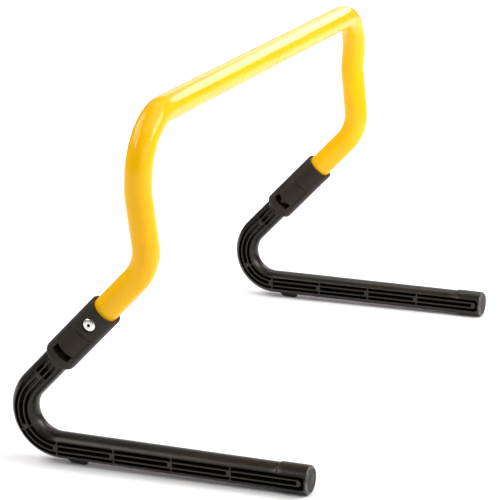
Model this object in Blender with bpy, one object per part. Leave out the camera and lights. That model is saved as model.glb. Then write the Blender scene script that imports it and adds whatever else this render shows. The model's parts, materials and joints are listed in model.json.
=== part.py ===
"""Agility hurdle: one bent tube on two swivelling moulded legs.

Frame: metres, +Z up, the feet point to -Y, the crossbar runs along X.
The origin is on the ground under the middle of the object's bounding box.
Each side of the hurdle (foot, leg and upright) lies in one plane that leans outwards.
Sleeve parts and legs are modelled in a side frame: its origin is the corner where the
foot line and the leg line meet, its Z runs up the leg line, its X points outwards.
"""
import bpy
import bmesh
from math import asin, cos, pi, radians, sin, sqrt, tan
from mathutils import Matrix, Vector

MM = 0.001
GAP = 0.3 * MM                      # running gap between pieces that touch
SIDES = {"left": -1, "right": 1}

# Overall size
HEIGHT = 304.8 * MM
TUBE_RADIUS = 11.2 * MM
TUBE_WALL = 1.2 * MM
FOOT_HALF_SPACING = 244.2 * MM
LEAN = 0.0425                       # outward run of a side plane per unit of height
LEAN_HEIGHT = 13.6 * MM             # height at which the side planes are at the foot spacing

# Corners of one side's centreline, as (y, z)
FOOT_TIP = (-129.5 * MM, 11.75 * MM)
FOOT_CORNER = (159.65 * MM, 15.0 * MM)
LOWER_BEND = (2.65 * MM, 176.2 * MM)
UPRIGHT_KINK = (8.9 * MM, 236.5 * MM)
BAR_CORNER = (4.5 * MM, HEIGHT - TUBE_RADIUS)
LEG_BEND_RADIUS = 30.5 * MM
LOWER_BEND_RADIUS = 40.3 * MM
KINK_RADIUS = 55.0 * MM
BAR_BEND_RADIUS = 43.3 * MM
TUBE_SIDES = 16

# Moulded leg section
LEG_RADIUS = 11.1 * MM
FOOT_END_RADIUS = 12.0 * MM
FOOT_END_LENGTH = 26.0 * MM
FOOT_END_BEVEL = 1.9 * MM
RECESS_HALF = 5.7 * MM              # half height of the side recess
RIB_OUTER = 3.05 * MM               # the two ribs lie between these offsets
RIB_INNER = 1.65 * MM
RIB_CREST = 10.0 * MM               # distance of a rib's crest from the middle plane
WEB_CREST = 9.4 * MM
CORE_HALF = 2.2 * MM                # half thickness of the middle wall
DRAFT = 0.25 * MM
RECESS_FROM_TIP = 2.8 * MM
RIB_TURN_FROM_TIP = (5.5 * MM, 9.4 * MM)
WEB_HALF = 0.65 * MM
WEB_BLOCK = 3.4 * MM                # reach of a web's thicker part between the two ribs
WEB_PITCH = 50.8 * MM
FIRST_WEB = 71.3 * MM               # first foot web, measured from the corner
FOOT_WEBS = 4
BEND_WEB_SHIFT = 3.7 * MM           # the bend's web lies this far before the bend's middle

# Distances up the leg line from the corner
RECESS_END = 103.6 * MM
LEG_SHOULDER = 105.7 * MM
HOUSING_BOTTOM = 106.2 * MM
RING_GROOVE = (109.2 * MM, 111.6 * MM)
SLOT_BOTTOM = 115.4 * MM
JOURNAL_TOP = 115.9 * MM
NECK_TOP = 116.8 * MM
WINDOW_BOTTOM = 121.6 * MM
LATCH_GROOVE = (123.4 * MM, 131.2 * MM)
OUTER_YOKE = 124.0 * MM
INNER_YOKE = 127.6 * MM
GUIDE_WEB = (132.0 * MM, 136.0 * MM)
SPIGOT_TOP = 136.5 * MM
SPRING_LEVEL = 140.2 * MM
WINDOW_TOP = 144.4 * MM
TUBE_END = 146.0 * MM
RIVET_LEVEL = 155.7 * MM
HOUSING_TOP = 160.4 * MM
COLLAR_STEP = 160.7 * MM
COLLAR_END = 169.4 * MM

# Swivel joint radii
SLEEVE_RADIUS = 14.15 * MM
SLEEVE_BORE = TUBE_RADIUS + GAP
SLEEVE_ROUND = 2.0 * MM
HOUSING_NECK_RADIUS = 12.55 * MM
COLLAR_SKIRT_BORE = HOUSING_NECK_RADIUS + GAP
JOURNAL_BORE = 9.9 * MM
NECK_RADIUS = 9.5 * MM
RING_GROOVE_RADIUS = 8.3 * MM
RING_WIRE = 0.5 * MM
SPIGOT_RADIUS = 7.8 * MM
LATCH_GROOVE_RADIUS = 6.1 * MM

# Latches: a thumb pad in the sleeve's window on a yoke ring round the spigot
PRESS_TRAVEL = 1.6 * MM
WINDOW_HALF = 10.1 * MM
SLOT_HALF = 8.1 * MM
PAD_INNER_RADIUS = 12.0 * MM
YOKE_BORE = SPIGOT_RADIUS + GAP
YOKE_RADIUS = YOKE_BORE + 2.0 * MM
YOKE_THICKNESS = 3.0 * MM
YOKE_NECK_HALF = 6.0 * MM
TAB_HALF = 1.4 * MM
TAB_LENGTH = 3.2 * MM

SPRING_HALF_LENGTH = 11.25 * MM
SPRING_COIL_RADIUS = 2.5 * MM
SPRING_WIRE = 0.45 * MM
SPRING_TURNS = 5

# Rivet that holds the tube
RIVET_HEAD_RADIUS = 5.3 * MM
RIVET_SHANK_RADIUS = 2.4 * MM
RIVET_BULB_RADIUS = 3.6 * MM
RIVET_BULB_DEPTH = 1.6 * MM
MANDREL_RADIUS = 1.2 * MM
MANDREL_DEPTH = 3.0 * MM
COUNTERBORE_RADIUS = 6.0 * MM
COUNTERBORE_FLOOR = 12.15 * MM

# Foot plug and rear pad
PLUG_POCKET_RADIUS = 9.4 * MM
PLUG_POCKET_DEPTH = 1.6 * MM
PAD_FROM_CORNER = 86.2 * MM
PAD_LENGTH = 17.5 * MM
PAD_WIDTH = 7.0 * MM
PAD_TOP = 5.6 * MM
PAD_ROUND = 1.6 * MM

COLOURS = {
    "yellow_paint": ((0.90, 0.58, 0.01), 0.22, 0.0),
    "black_plastic": ((0.020, 0.019, 0.018), 0.38, 0.0),
    "grey_plastic": ((0.030, 0.028, 0.027), 0.50, 0.0),
    "rubber": ((0.012, 0.012, 0.012), 0.80, 0.0),
    "bright_metal": ((0.80, 0.79, 0.77), 0.22, 1.0),
    "spring_steel": ((0.55, 0.55, 0.56), 0.30, 1.0),
}


def clear_scene():
    for item in list(bpy.data.objects):
        bpy.data.objects.remove(item, do_unlink=True)


def material(slot):
    found = bpy.data.materials.get(slot)
    if found:
        return found
    colour, roughness, metallic = COLOURS[slot]
    made = bpy.data.materials.new(slot)
    made.use_nodes = True
    shader = made.node_tree.nodes["Principled BSDF"]
    shader.inputs["Base Color"].default_value = (*colour, 1.0)
    shader.inputs["Roughness"].default_value = roughness
    shader.inputs["Metallic"].default_value = metallic
    return made


def add_empty(name, matrix):
    empty = bpy.data.objects.new(name, None)
    empty.empty_display_size = 0.02
    bpy.context.scene.collection.objects.link(empty)
    empty.matrix_world = matrix
    return empty


def add_object(name, bm, slot, parent=None, sharp_angle=30.0):
    """Turn a bmesh into a named object in its parent's frame."""
    bmesh.ops.recalc_face_normals(bm, faces=bm.faces)
    mesh = bpy.data.meshes.new(name)
    bm.to_mesh(mesh)
    bm.free()
    made = bpy.data.objects.new(name, mesh)
    bpy.context.scene.collection.objects.link(made)
    made.parent = parent
    if slot:
        mesh.materials.append(material(slot))
        mesh.shade_smooth()
        mesh.set_sharp_from_angle(angle=radians(sharp_angle))
    return made


def add_cutter(name, bm, parent=None):
    cutter = add_object(name, bm, None, parent)
    cutter.hide_render = True
    cutter.display_type = "WIRE"
    return cutter


def boolean(target, tool, operation):
    step = target.modifiers.new(operation.lower(), "BOOLEAN")
    step.operation = operation
    step.solver = "EXACT"
    step.object = tool


# Lines with rounded corners

def bent_line(corners, radii):
    """Straight and arc pieces through the corners, rounded by the radii."""
    pieces = []
    start = corners[0]
    for before, corner, after, radius in zip(corners, corners[1:], corners[2:], radii):
        arrive = (corner - before).normalized()
        leave = (after - corner).normalized()
        turn = arrive.angle(leave)
        cut = radius * tan(turn / 2)
        arc_start = corner - arrive * cut
        inward = (leave - arrive * arrive.dot(leave)).normalized()
        pieces.append((0.0, (arc_start - start).length, start, arrive, inward))
        pieces.append((radius, radius * turn, arc_start, arrive, inward))
        start = corner + leave * cut
    rest = corners[-1] - start
    pieces.append((0.0, rest.length, start, rest.normalized(), rest.orthogonal()))
    return pieces


def line_length(pieces):
    return sum(piece[1] for piece in pieces)


def at_distance(pieces, distance):
    """Point and direction at a distance along a bent line."""
    for number, (radius, length, start, along, inward) in enumerate(pieces):
        if distance <= length or number == len(pieces) - 1:
            break
        distance -= length
    if radius == 0.0:
        return start + along * distance, along
    angle = distance / radius
    centre = start + inward * radius
    point = centre - inward * radius * cos(angle) + along * radius * sin(angle)
    return point, along * cos(angle) + inward * sin(angle)


def arc_distances(pieces, step_angle):
    """Distances at which a bent line needs a ring: arc ends and points along each arc."""
    found = []
    begin = 0.0
    for radius, length, start, along, inward in pieces:
        if radius:
            steps = max(2, round(length / radius / step_angle))
            found += [begin + length * step / steps for step in range(steps + 1)]
        begin += length
    return found


# Bodies

def loft(rings, closed_ends=True):
    """Skin over rings of points with the same count, in order along the body."""
    bm = bmesh.new()
    loops = [[bm.verts.new(point) for point in ring] for ring in rings]
    for low, high in zip(loops, loops[1:]):
        for index in range(len(low)):
            after = (index + 1) % len(low)
            bm.faces.new((low[index], low[after], high[after], high[index]))
    if closed_ends:
        bm.faces.new(loops[0])
        bm.faces.new(loops[-1])
    return bm


def pipe(centres, directions, outer, inner, sides):
    """Hollow pipe along a line, open at both ends."""
    normal = directions[0].orthogonal().normalized()
    outer_rings = []
    inner_rings = []
    for centre, along in zip(centres, directions):
        normal = (normal - along * normal.dot(along)).normalized()
        side = along.cross(normal)
        turn = [2 * pi * index / sides for index in range(sides)]
        spokes = [normal * cos(angle) + side * sin(angle) for angle in turn]
        outer_rings.append([centre + spoke * outer for spoke in spokes])
        inner_rings.append([centre + spoke * inner for spoke in spokes])
    skin = outer_rings + inner_rings[::-1]
    return loft(skin + skin[:1], closed_ends=False)


def rod(centres, radius, sides):
    """Round wire along points, with flat ends."""
    rings = []
    normal = None
    for index, centre in enumerate(centres):
        before = centres[max(index - 1, 0)]
        after = centres[min(index + 1, len(centres) - 1)]
        along = (after - before).normalized()
        normal = normal or along.orthogonal().normalized()
        normal = (normal - along * normal.dot(along)).normalized()
        side = along.cross(normal)
        turn = [2 * pi * step / sides for step in range(sides)]
        rings.append([centre + (normal * cos(a) + side * sin(a)) * radius for a in turn])
    return loft(rings)


def lathe(profile, steps, ring=False):
    """Solid turned about Z from (radius, height) points; a ring's profile closes on itself."""
    bm = bmesh.new()
    verts = [bm.verts.new((radius, 0.0, height)) for radius, height in profile]
    edges = [bm.edges.new(pair) for pair in zip(verts, verts[1:])]
    if ring:
        edges.append(bm.edges.new((verts[-1], verts[0])))
    bmesh.ops.spin(bm, geom=verts + edges, axis=(0, 0, 1), angle=2 * pi, steps=steps,
                   use_merge=True)
    bmesh.ops.remove_doubles(bm, verts=bm.verts, dist=1e-6)
    return bm


def box(low, high):
    bm = bmesh.new()
    bmesh.ops.create_cube(bm, size=1.0)
    low = Vector(low)
    high = Vector(high)
    bmesh.ops.scale(bm, vec=high - low, verts=bm.verts)
    bmesh.ops.translate(bm, vec=(low + high) / 2, verts=bm.verts)
    return bm


def slab(outline, low, high):
    """Flat plate from an outline in X and Y."""
    return loft([[Vector((x, y, level)) for x, y in outline] for level in (low, high)])


def along_x(bm):
    """Turn a body modelled about Z so that its Z points along +X."""
    bmesh.ops.rotate(bm, cent=(0, 0, 0), matrix=Matrix.Rotation(pi / 2, 3, "Y"), verts=bm.verts)
    return bm


def moved(bm, offset):
    bmesh.ops.translate(bm, vec=offset, verts=bm.verts)
    return bm


# Layout of one side

def side_point(side, corner):
    y, z = corner
    return Vector((side * (FOOT_HALF_SPACING + LEAN * (z - LEAN_HEIGHT)), y, z))


def side_frame(side):
    """Side frame: X outwards across the side plane, Z up the leg line."""
    corner = side_point(side, FOOT_CORNER)
    up = (side_point(side, LOWER_BEND) - corner).normalized()
    outward = Vector((side, 0.0, -LEAN)).normalized()
    across = up.cross(outward)
    rotation = Matrix((outward, across, up)).transposed()
    return Matrix.Translation(corner) @ rotation.to_4x4()


# Tube

def make_tube():
    ends = {}
    for side in SIDES.values():
        ends[side] = side_frame(side) @ Vector((0.0, 0.0, TUBE_END))
    bends = (LOWER_BEND, UPRIGHT_KINK, BAR_CORNER)
    corners = [ends[-1]] + [side_point(-1, bend) for bend in bends]
    corners += [side_point(1, bend) for bend in reversed(bends)] + [ends[1]]
    radii = (LOWER_BEND_RADIUS, KINK_RADIUS, BAR_BEND_RADIUS)
    line = bent_line(corners, radii + radii[::-1])
    distances = [0.0] + arc_distances(line, radians(13.0)) + [line_length(line)]
    places = [at_distance(line, distance) for distance in distances]
    centres = [place[0] for place in places]
    directions = [place[1] for place in places]
    bm = pipe(centres, directions, TUBE_RADIUS, TUBE_RADIUS - TUBE_WALL, TUBE_SIDES)
    tube = add_object("frame_tube", bm, "yellow_paint", sharp_angle=45.0)
    for name, side in SIDES.items():
        hole = lathe([(0, 0), (RIVET_SHANK_RADIUS + GAP, 0),
                      (RIVET_SHANK_RADIUS + GAP, SLEEVE_RADIUS), (0, SLEEVE_RADIUS)], 12)
        cutter = add_cutter(name + "_tube_hole", moved(along_x(hole), (0, 0, RIVET_LEVEL)))
        cutter.matrix_world = side_frame(side)
        boolean(tube, cutter, "DIFFERENCE")


# Leg

def ring_angles():
    """Angles of the section's points, from the outer face upwards, for one quarter turn."""
    offsets = (RIB_INNER - DRAFT, RIB_INNER, RIB_OUTER, RIB_OUTER + DRAFT,
               RECESS_HALF - DRAFT, RECESS_HALF)
    return [asin(offset / LEG_RADIUS) for offset in offsets]


def quarter_section(radius, floors):
    """(across, up) points of one quarter of the leg's section; no floors means plain round."""
    angles = ring_angles()
    edge = angles[-1]
    if floors is None:
        points = [(radius * cos(angle), radius * sin(angle)) for angle in angles]
    else:
        middle, outer = floors
        heights = [LEG_RADIUS * sin(angle) for angle in angles]
        depths = [middle, RIB_CREST, RIB_CREST, outer, outer,
                  sqrt(radius ** 2 - RECESS_HALF ** 2)]
        points = list(zip(depths, heights))
        edge = asin(RECESS_HALF / radius)
    top_steps = 3
    for step in range(1, top_steps):
        angle = edge + (pi / 2 - edge) * step / top_steps
        points.append((radius * cos(angle), radius * sin(angle)))
    return points


def section(radius, floors=None):
    """Whole section of the leg as (across, up) points."""
    quarter = quarter_section(radius, floors)
    right = [(x, -y) for x, y in reversed(quarter)] + quarter
    left = [(-x, -y) for x, y in right]
    return right + [(0.0, radius)] + left + [(0.0, -radius)]


DEEP = (CORE_HALF, CORE_HALF)
RIB_TURN = (RIB_CREST, CORE_HALF)
WEB = (RIB_CREST, WEB_CREST)


def leg_rings(line, side_normal):
    """(distance from the tip, section) of every ring of one leg, in order."""
    arc_start = line[0][1]
    arc_length = line[1][1]
    foot_length = (Vector(FOOT_CORNER) - Vector(FOOT_TIP)).length
    cut = foot_length - arc_start

    def on_leg(height):
        return arc_start + arc_length + height - cut

    rings = [
        (PLUG_POCKET_DEPTH, section(PLUG_POCKET_RADIUS)),
        (0.0, section(PLUG_POCKET_RADIUS)),
        (0.0, section(FOOT_END_RADIUS - FOOT_END_BEVEL)),
        (FOOT_END_BEVEL, section(FOOT_END_RADIUS)),
        (RECESS_FROM_TIP, section(FOOT_END_RADIUS)),
        (RECESS_FROM_TIP + DRAFT, section(FOOT_END_RADIUS, DEEP)),
        (RIB_TURN_FROM_TIP[0], section(FOOT_END_RADIUS, DEEP)),
        (RIB_TURN_FROM_TIP[0] + DRAFT, section(FOOT_END_RADIUS, RIB_TURN)),
        (RIB_TURN_FROM_TIP[1], section(FOOT_END_RADIUS, RIB_TURN)),
        (RIB_TURN_FROM_TIP[1] + DRAFT, section(FOOT_END_RADIUS, DEEP)),
        (FOOT_END_LENGTH, section(FOOT_END_RADIUS, DEEP)),
        (FOOT_END_LENGTH + 3 * DRAFT, section(LEG_RADIUS, DEEP)),
    ]
    bend_middle = arc_start + arc_length / 2
    near = WEB_HALF + DRAFT
    webs = [(foot_length - FIRST_WEB - WEB_PITCH * number, near, WEB_BLOCK)
            for number in range(FOOT_WEBS)]
    webs += [(bend_middle - BEND_WEB_SHIFT, near, WEB_BLOCK),
             (bend_middle + WEB_PITCH, WEB_BLOCK, near)]
    middle = {}
    for place, back, ahead in webs:
        middle.update({
            place - back - DRAFT: DEEP, place - back: RIB_TURN, place - near: RIB_TURN,
            place - WEB_HALF: WEB, place + WEB_HALF: WEB,
            place + near: RIB_TURN, place + ahead: RIB_TURN, place + ahead + DRAFT: DEEP,
        })
    clear = 2 * DRAFT
    for spot in arc_distances(line, radians(17.0)):
        if all(spot < place - back - clear or spot > place + ahead + clear
               for place, back, ahead in webs):
            middle[spot] = DEEP
    rings += [(distance, section(LEG_RADIUS, middle[distance])) for distance in sorted(middle)]
    spigot = [
        (RECESS_END - DRAFT, LEG_RADIUS, DEEP), (RECESS_END, LEG_RADIUS, None),
        (LEG_SHOULDER, LEG_RADIUS, None), (LEG_SHOULDER, NECK_RADIUS, None),
        (RING_GROOVE[0], NECK_RADIUS, None), (RING_GROOVE[0], RING_GROOVE_RADIUS, None),
        (RING_GROOVE[1], RING_GROOVE_RADIUS, None), (RING_GROOVE[1], NECK_RADIUS, None),
        (JOURNAL_TOP - 2 * DRAFT, NECK_RADIUS, None), (NECK_TOP, SPIGOT_RADIUS, None),
        (LATCH_GROOVE[0], SPIGOT_RADIUS, None), (LATCH_GROOVE[0], LATCH_GROOVE_RADIUS, None),
        (LATCH_GROOVE[1], LATCH_GROOVE_RADIUS, None), (LATCH_GROOVE[1], SPIGOT_RADIUS, None),
        (SPIGOT_TOP - 3 * DRAFT, SPIGOT_RADIUS, None),
        (SPIGOT_TOP, SPIGOT_RADIUS - 3 * DRAFT, None),
    ]
    rings += [(on_leg(height), section(radius, floors)) for height, radius, floors in spigot]

    placed = []
    for distance, outline in rings:
        point, along = at_distance(line, distance)
        up = along.cross(side_normal)
        placed.append([point + side_normal * x + up * y for x, y in outline])
    return placed


def make_leg(name, side, swivel):
    frame = side_frame(side)
    inverse = frame.inverted()
    corner = side_point(side, FOOT_CORNER)
    tip = side_point(side, FOOT_TIP)
    top = frame @ Vector((0.0, 0.0, SPIGOT_TOP))
    line = bent_line([tip, corner, top], [LEG_BEND_RADIUS])
    outward = (frame.to_3x3() @ Vector((1.0, 0.0, 0.0))).normalized()
    rings = leg_rings(line, outward)
    local = [[inverse @ point for point in ring] for ring in rings]
    leg = add_object(name + "_leg", loft(local), "black_plastic", swivel)

    x = side * FOOT_HALF_SPACING
    y = FOOT_CORNER[0] - PAD_FROM_CORNER
    half = Vector((PAD_WIDTH / 2 + GAP, PAD_LENGTH / 2 + GAP, 0.0))
    pocket = box((x - half.x, y - half.y, -PAD_TOP), (x + half.x, y + half.y, PAD_TOP + GAP))
    boolean(leg, add_cutter(name + "_pad_pocket", pocket), "DIFFERENCE")
    reach = 2 * FOOT_END_LENGTH
    ground = box((x - reach, tip.y - reach, -reach), (x + reach, tip.y + reach, 0.0))
    boolean(leg, add_cutter(name + "_ground_flat", ground), "DIFFERENCE")

    profile = [(0, 0), (PLUG_POCKET_RADIUS - GAP, 0),
               (PLUG_POCKET_RADIUS - GAP, PLUG_POCKET_DEPTH - 3 * GAP),
               (PLUG_POCKET_RADIUS - 3 * GAP, PLUG_POCKET_DEPTH - GAP),
               (0, PLUG_POCKET_DEPTH - GAP)]
    plug = lathe(profile, 24)
    forward = (tip - corner).normalized()
    turn = Vector((0, 0, 1)).rotation_difference(forward).to_matrix().to_4x4()
    seat = tip - forward * (PLUG_POCKET_DEPTH - GAP)
    bmesh.ops.transform(plug, matrix=inverse @ Matrix.Translation(seat) @ turn, verts=plug.verts)
    add_object(name + "_foot_plug", plug, "grey_plastic", swivel)

    pad = box((x - PAD_WIDTH / 2, y - PAD_LENGTH / 2, 0.0),
              (x + PAD_WIDTH / 2, y + PAD_LENGTH / 2, PAD_TOP))
    under = [edge for edge in pad.edges if max(vert.co.z for vert in edge.verts) < PAD_TOP / 2]
    bmesh.ops.bevel(pad, geom=under, offset=PAD_ROUND, segments=3, profile=0.5,
                    affect="EDGES")
    bmesh.ops.transform(pad, matrix=inverse, verts=pad.verts)
    add_object(name + "_foot_pad", pad, "rubber", swivel)

    ring_radius = (RING_GROOVE_RADIUS + JOURNAL_BORE) / 2
    level = sum(RING_GROOVE) / 2
    circle = [2 * pi * step / 6 for step in range(6)]
    profile = [(ring_radius + RING_WIRE * cos(a), level + RING_WIRE * sin(a)) for a in circle]
    add_object(name + "_friction_ring", lathe(profile, 20, ring=True), "rubber", swivel)


# Sleeve and what it holds

def rivet_hole():
    """Counterbored hole for the rivet, along the side frame's X."""
    reach = 2 * SLEEVE_RADIUS
    shaft = RIVET_SHANK_RADIUS + GAP
    profile = [(0, 0), (shaft, 0), (shaft, COUNTERBORE_FLOOR),
               (COUNTERBORE_RADIUS, COUNTERBORE_FLOOR),
               (COUNTERBORE_RADIUS, reach), (0, reach)]
    return moved(along_x(lathe(profile, 18)), (0, 0, RIVET_LEVEL))


def guide_web():
    """Plate with the spigot's upper bore and two ears that reach the housing wall."""
    steps = 44
    ear_half = 5.0 * MM
    ear_radius = SLEEVE_BORE + 1.0 * MM
    outer = []
    inner = []
    for step in range(steps):
        angle = 2 * pi * (step + 0.5) / steps
        radius = min(ear_radius, max(YOKE_RADIUS, ear_half / abs(cos(angle))))
        outer.append((radius * cos(angle), radius * sin(angle)))
        inner.append((YOKE_BORE * cos(angle), YOKE_BORE * sin(angle)))
    low, high = GUIDE_WEB
    skin = [[Vector((x, y, level)) for x, y in outline]
            for outline, level in ((outer, low), (outer, high), (inner, high), (inner, low))]
    web = loft(skin + skin[:1], closed_ends=False)
    bmesh.ops.remove_doubles(web, verts=web.verts, dist=1e-7)
    return web


def make_housing(name, fixed):
    """Lower half of the sleeve: the leg's journal, the latch windows and a neck."""
    profile = [(SLEEVE_BORE, HOUSING_TOP), (HOUSING_NECK_RADIUS, HOUSING_TOP),
               (HOUSING_NECK_RADIUS, WINDOW_TOP - GAP), (SLEEVE_RADIUS, WINDOW_TOP - GAP),
               (SLEEVE_RADIUS, HOUSING_BOTTOM + SLEEVE_ROUND)]
    for angle in (radians(30.0), radians(60.0), radians(90.0)):
        profile.append((SLEEVE_RADIUS - SLEEVE_ROUND * (1 - cos(angle)),
                        HOUSING_BOTTOM + SLEEVE_ROUND * (1 - sin(angle))))
    profile += [(JOURNAL_BORE, HOUSING_BOTTOM), (JOURNAL_BORE, JOURNAL_TOP),
                (SLEEVE_BORE, JOURNAL_TOP)]
    housing = add_object(name + "_latch_housing", lathe(profile, 28, ring=True),
                         "grey_plastic", fixed)
    reach = 2 * SLEEVE_RADIUS
    cutters = {
        "window": box((-reach, -WINDOW_HALF, WINDOW_BOTTOM), (reach, WINDOW_HALF, WINDOW_TOP)),
        "slot": box((-reach, -SLOT_HALF, SLOT_BOTTOM), (reach, SLOT_HALF, WINDOW_BOTTOM + GAP)),
        "housing_rivet_hole": rivet_hole(),
    }
    for kind, bm in cutters.items():
        boolean(housing, add_cutter(name + "_" + kind, bm, fixed), "DIFFERENCE")
    boolean(housing, add_cutter(name + "_guide_web", guide_web(), fixed), "UNION")


def make_collar(name, fixed):
    """Upper half of the sleeve: it covers the housing's neck and closes the windows."""
    edge = 2 * GAP
    profile = [(SLEEVE_BORE, COLLAR_END), (SLEEVE_RADIUS - edge, COLLAR_END),
               (SLEEVE_RADIUS, COLLAR_END - edge), (SLEEVE_RADIUS, WINDOW_TOP),
               (COLLAR_SKIRT_BORE, WINDOW_TOP), (COLLAR_SKIRT_BORE, COLLAR_STEP),
               (SLEEVE_BORE, COLLAR_STEP)]
    collar = add_object(name + "_tube_collar", lathe(profile, 28, ring=True),
                        "grey_plastic", fixed)
    cutter = add_cutter(name + "_collar_rivet_hole", rivet_hole(), fixed)
    boolean(collar, cutter, "DIFFERENCE")


def make_rivet(name, fixed):
    """Blind rivet along the side frame's X, with its head outside."""
    head = COUNTERBORE_FLOOR + GAP
    dome = SLEEVE_RADIUS
    tube_inside = (TUBE_RADIUS - TUBE_WALL) * cos(pi / TUBE_SIDES)
    bulb_top = sqrt(tube_inside ** 2 - RIVET_BULB_RADIUS ** 2) - GAP
    bulb_low = bulb_top - RIVET_BULB_DEPTH
    profile = [(0, dome - MANDREL_DEPTH), (MANDREL_RADIUS, dome - MANDREL_DEPTH),
               (MANDREL_RADIUS, dome), (RIVET_HEAD_RADIUS * 0.7, dome - 0.4 * MM),
               (RIVET_HEAD_RADIUS, head + 0.5 * MM), (RIVET_HEAD_RADIUS, head),
               (RIVET_SHANK_RADIUS, head), (RIVET_SHANK_RADIUS, bulb_top),
               (RIVET_BULB_RADIUS, bulb_top), (RIVET_BULB_RADIUS, bulb_low + 0.5 * MM),
               (RIVET_BULB_RADIUS * 0.7, bulb_low), (0, bulb_low)]
    bm = moved(along_x(lathe(profile, 16)), (0, 0, RIVET_LEVEL))
    add_object(name + "_tube_rivet", bm, "bright_metal", fixed)


def make_latch(name, fixed, outward, yoke_level):
    """Pad in the window on the side that outward points to, with its yoke ring."""
    half = WINDOW_HALF - GAP
    steps = 8
    outer = []
    inner = []
    for step in range(steps + 1):
        y = half * (2 * step / steps - 1)
        outer.append((outward * sqrt(SLEEVE_RADIUS ** 2 - y ** 2), y))
        inner.append((outward * sqrt(PAD_INNER_RADIUS ** 2 - y ** 2), y))
    pad = slab(outer + inner[::-1], WINDOW_BOTTOM + GAP, WINDOW_TOP - GAP)
    latch = add_object(name, pad, "grey_plastic", fixed)

    level = (yoke_level, yoke_level + YOKE_THICKNESS)
    ring_profile = [(YOKE_BORE, level[0]), (YOKE_RADIUS, level[0]),
                    (YOKE_RADIUS, level[1]), (YOKE_BORE, level[1])]
    ring = moved(lathe(ring_profile, 28, ring=True), (outward * PRESS_TRAVEL, 0, 0))
    boolean(latch, add_cutter(name + "_ring", ring, fixed), "UNION")
    reach = sorted((outward * (YOKE_RADIUS + 0.4 * MM), outward * (PAD_INNER_RADIUS + MM)))
    inset = 0.4 * MM
    neck = box((reach[0], -YOKE_NECK_HALF, level[0] + inset),
               (reach[1], YOKE_NECK_HALF, level[1] - inset))
    boolean(latch, add_cutter(name + "_neck", neck, fixed), "UNION")
    if outward < 0:
        tab = box((-SLEEVE_RADIUS + MM / 4, -TAB_HALF, WINDOW_BOTTOM - TAB_LENGTH),
                  (-PAD_INNER_RADIUS - MM / 4, TAB_HALF, WINDOW_BOTTOM + MM))
        boolean(latch, add_cutter(name + "_tab", tab, fixed), "UNION")


def make_spring(name, fixed):
    """Spring across the sleeve that pushes both pads out."""
    steps = 9
    count = SPRING_TURNS * steps
    travel = SPRING_HALF_LENGTH - SPRING_WIRE
    points = []
    for index in range(count + 1):
        angle = 2 * pi * index / steps
        points.append(Vector((travel * (2 * index / count - 1), SPRING_COIL_RADIUS * cos(angle),
                              SPRING_LEVEL + SPRING_COIL_RADIUS * sin(angle))))
    add_object(name + "_latch_spring", rod(points, SPRING_WIRE, 4), "spring_steel", fixed)


def main():
    clear_scene()
    make_tube()
    for name, side in SIDES.items():
        frame = side_frame(side)
        fixed = add_empty(name + "_sleeve_axis", frame)
        swivel = add_empty(name + "_swivel_axis", frame)
        make_leg(name, side, swivel)
        make_housing(name, fixed)
        make_collar(name, fixed)
        make_rivet(name, fixed)
        make_latch(name + "_outer_latch", fixed, 1, OUTER_YOKE)
        make_latch(name + "_inner_latch", fixed, -1, INNER_YOKE)
        make_spring(name, fixed)
    bpy.context.view_layer.update()


main()
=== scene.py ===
"""Looks of the agility hurdle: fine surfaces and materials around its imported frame.

Each side has a side frame, read from the record's joints: its origin is the corner where
the foot line meets the leg line, its Z runs up the leg line and its X points outwards.
The sleeve and the leg are built in that frame, with heights measured up from the corner.
"""
import json
from math import asin, atan2, ceil, copysign, cos, exp, hypot, pi, radians, sin, sqrt, tan

import bmesh
import bpy
from mathutils import Matrix, Vector


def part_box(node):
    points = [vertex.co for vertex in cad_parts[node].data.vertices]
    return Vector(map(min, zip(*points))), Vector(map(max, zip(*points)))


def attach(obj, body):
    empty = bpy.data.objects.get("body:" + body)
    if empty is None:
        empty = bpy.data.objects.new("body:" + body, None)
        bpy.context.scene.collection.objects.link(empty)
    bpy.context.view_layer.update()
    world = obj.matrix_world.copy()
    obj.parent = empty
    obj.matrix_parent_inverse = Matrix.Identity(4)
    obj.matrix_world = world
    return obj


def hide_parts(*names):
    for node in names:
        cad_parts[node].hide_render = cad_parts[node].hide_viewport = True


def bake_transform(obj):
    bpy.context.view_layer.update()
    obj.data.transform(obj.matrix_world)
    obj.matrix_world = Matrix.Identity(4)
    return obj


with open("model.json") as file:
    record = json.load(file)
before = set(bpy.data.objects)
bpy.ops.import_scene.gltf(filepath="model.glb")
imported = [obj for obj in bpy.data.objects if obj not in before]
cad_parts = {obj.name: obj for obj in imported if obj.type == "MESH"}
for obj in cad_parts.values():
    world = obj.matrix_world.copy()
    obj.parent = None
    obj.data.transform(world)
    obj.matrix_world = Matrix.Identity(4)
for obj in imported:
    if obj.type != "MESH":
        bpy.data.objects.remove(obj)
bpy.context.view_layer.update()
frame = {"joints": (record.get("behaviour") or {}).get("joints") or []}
joints = {joint["name"]: joint for joint in frame["joints"]}

MM = 0.001
SIDES = ("left", "right")

# Tube: corners of one side's centreline as (y, z), with their bend radii
TUBE_RADIUS = 11.2 * MM
TUBE_WALL = 1.2 * MM
TUBE_SIDES = 72
TUBE_STEP = 12.0 * MM
TUBE_END = 146.0 * MM
LOWER_BEND = (2.65 * MM, 176.2 * MM)
UPRIGHT_KINK = (8.9 * MM, 236.5 * MM)
BAR_CORNER_Y = 4.5 * MM
BEND_RADII = (40.3 * MM, 55.0 * MM, 43.3 * MM)
FOOT_SPACING_HEIGHT = 13.6 * MM
FOOT_HALF_SPACING = 244.2 * MM

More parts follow.
